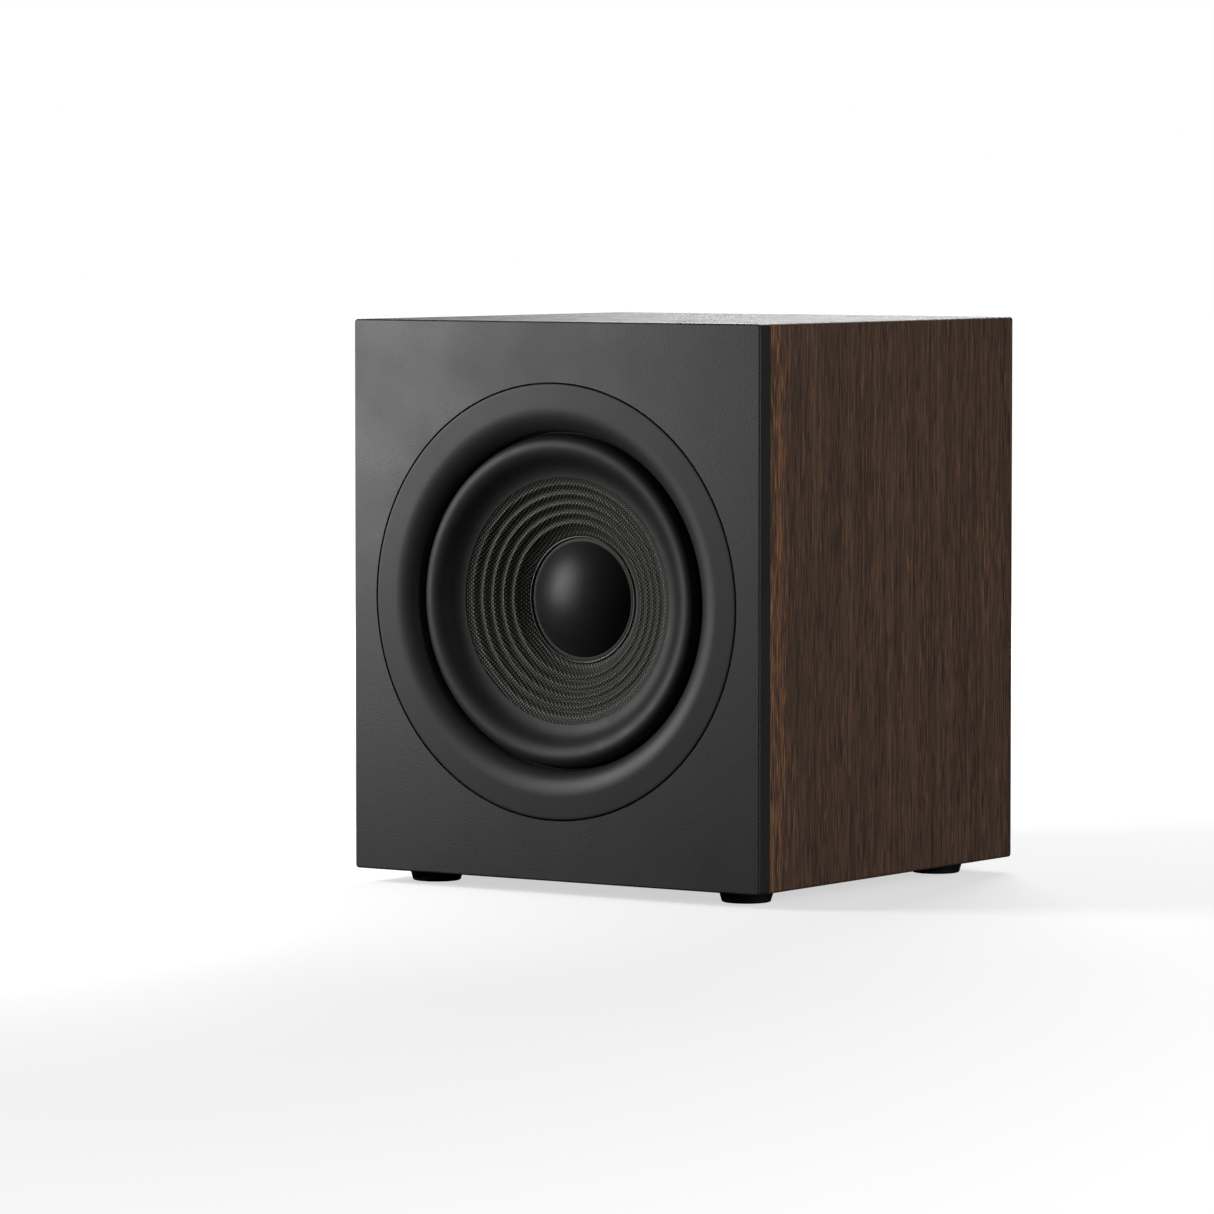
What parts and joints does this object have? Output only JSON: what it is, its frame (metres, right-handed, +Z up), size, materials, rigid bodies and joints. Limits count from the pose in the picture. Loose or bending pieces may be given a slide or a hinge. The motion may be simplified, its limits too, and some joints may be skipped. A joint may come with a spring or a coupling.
{
  "type": "bookshelf speaker",
  "caption": "Compact wooden bookshelf speaker: charcoal front baffle, flush trim ring, rubber surround, woven corrugated cone, rear port and binding posts.",
  "frame": {"origin": "on the shelf, under the middle of the whole box", "axes": "+Z up, the front baffle faces -Y, +X to the right seen from the front"},
  "size_m": [0.208, 0.2032, 0.242],
  "materials": {
    "baffle_paint": "satin charcoal paint with a fine texture on fibreboard",
    "dark_veneer": "open-pored dark walnut veneer, matt lacquer",
    "black_board": "black textured paint on fibreboard",
    "raw_board": "bare fibreboard",
    "wadding": "polyester fibre",
    "ring_plastic": "fine satin",
    "black_rubber": "satin",
    "woven_fibre": "coated twill weave",
    "dust_cap_plastic": "smooth satin",
    "bead_adhesive": "glossy",
    "basket_paint": "black powder coat",
    "magnet_steel": "zinc plated",
    "ferrite": "dull grey",
    "former_metal": "plain",
    "copper_wire": "lacquered copper winding",
    "spider_cloth": "resin-treated cotton",
    "black_screws": "black zinc",
    "black_plastic": "fine moulded grain",
    "gold_plate": "gold plated",
    "red_plastic": "smooth",
    "terminal_black": "smooth",
    "tinned_metal": "tinned",
    "insert_brass": "plain",
    "board_laminate": "phenolic laminate",
    "film_capacitor": "plain wrap",
    "resistor_ceramic": "white cement"
  },
  "bodies": {
    "cabinet": {"front_baffle": "baffle_paint", "top_panel": "dark_veneer", "bottom_panel": "dark_veneer", "left_panel": "dark_veneer", "right_panel": "dark_veneer", "rear_panel": "black_board", "cross_brace": "raw_board", "damping_sides": "wadding", "damping_top": "wadding", "bracket_inserts": "insert_brass", "foot_front_left": "black_rubber", "foot_front_right": "black_rubber", "foot_rear_left": "black_rubber", "foot_rear_right": "black_rubber", "foot_screws": "black_screws", "trim_ring": "ring_plastic", "basket": "basket_paint", "basket_gasket": "black_rubber", "driver_screws": "black_screws", "surround": "black_rubber", "spider": "spider_cloth", "top_plate": "magnet_steel", "magnet": "ferrite", "yoke": "magnet_steel", "terminal_strip": "board_laminate", "strip_rivet": "tinned_metal", "driver_blades": "tinned_metal", "tinsel_leads": "copper_wire", "port_flare": "black_plastic", "port_tube": "black_plastic", "terminal_cup": "black_plastic", "terminal_cup_gasket": "black_rubber", "terminal_cup_screws": "black_screws", "terminal_studs": "gold_plate", "terminal_bases": "terminal_black", "solder_tags": "tinned_metal", "post_nuts": "tinned_metal", "filter_board": "board_laminate", "board_spacers": "black_plastic", "board_screws": "tinned_metal", "board_tabs": "tinned_metal", "coil_bobbin": "black_plastic", "filter_coil": "copper_wire", "capacitor": "film_capacitor", "resistor": "resistor_ceramic", "input_wire_black": "terminal_black", "input_wire_red": "red_plastic", "output_wire_black": "terminal_black", "output_wire_red": "red_plastic"},
    "cone_assembly": {"cone": "woven_fibre", "dust_cap": "dust_cap_plastic", "cap_bead": "bead_adhesive", "coil_former": "former_metal", "voice_coil": "copper_wire"},
    "washer_black": {"clamp_washer_black": "gold_plate"},
    "cap_black": {"screw_cap_black": "gold_plate", "cap_band_black": "terminal_black"},
    "washer_red": {"clamp_washer_red": "gold_plate"},
    "cap_red": {"screw_cap_red": "gold_plate", "cap_band_red": "red_plastic"}
  },
  "joints": [
    {"name": "cone_travel", "type": "slide", "parent": "cabinet", "child": "cone_assembly", "axis": [0, -1, 0], "range_m": [-0.004, 0.004], "stiffness_N_per_m": 1000, "deforming": ["surround", "spider", "tinsel_leads"]},
    {"name": "washer_black_lift", "type": "slide", "parent": "cabinet", "child": "washer_black", "axis": [0, 1, 0], "range_m": [0, 0.005]},
    {"name": "cap_black_turn", "type": "hinge", "parent": "washer_black", "child": "cap_black", "pos_m": [-0.0095, 0.085, 0.062], "axis": [0, 1, 0], "range_deg": [0, 1800]},
    {"name": "washer_red_lift", "type": "slide", "parent": "cabinet", "child": "washer_red", "axis": [0, 1, 0], "range_m": [0, 0.005]},
    {"name": "cap_red_turn", "type": "hinge", "parent": "washer_red", "child": "cap_red", "pos_m": [0.0095, 0.085, 0.062], "axis": [0, 1, 0], "range_deg": [0, 1800]}
  ],
  "couplings": [
    {"joint": "cap_black_turn", "follows": "washer_black_lift", "rad_per_m": 6283.2},
    {"joint": "cap_red_turn", "follows": "washer_red_lift", "rad_per_m": 6283.2}
  ]
}
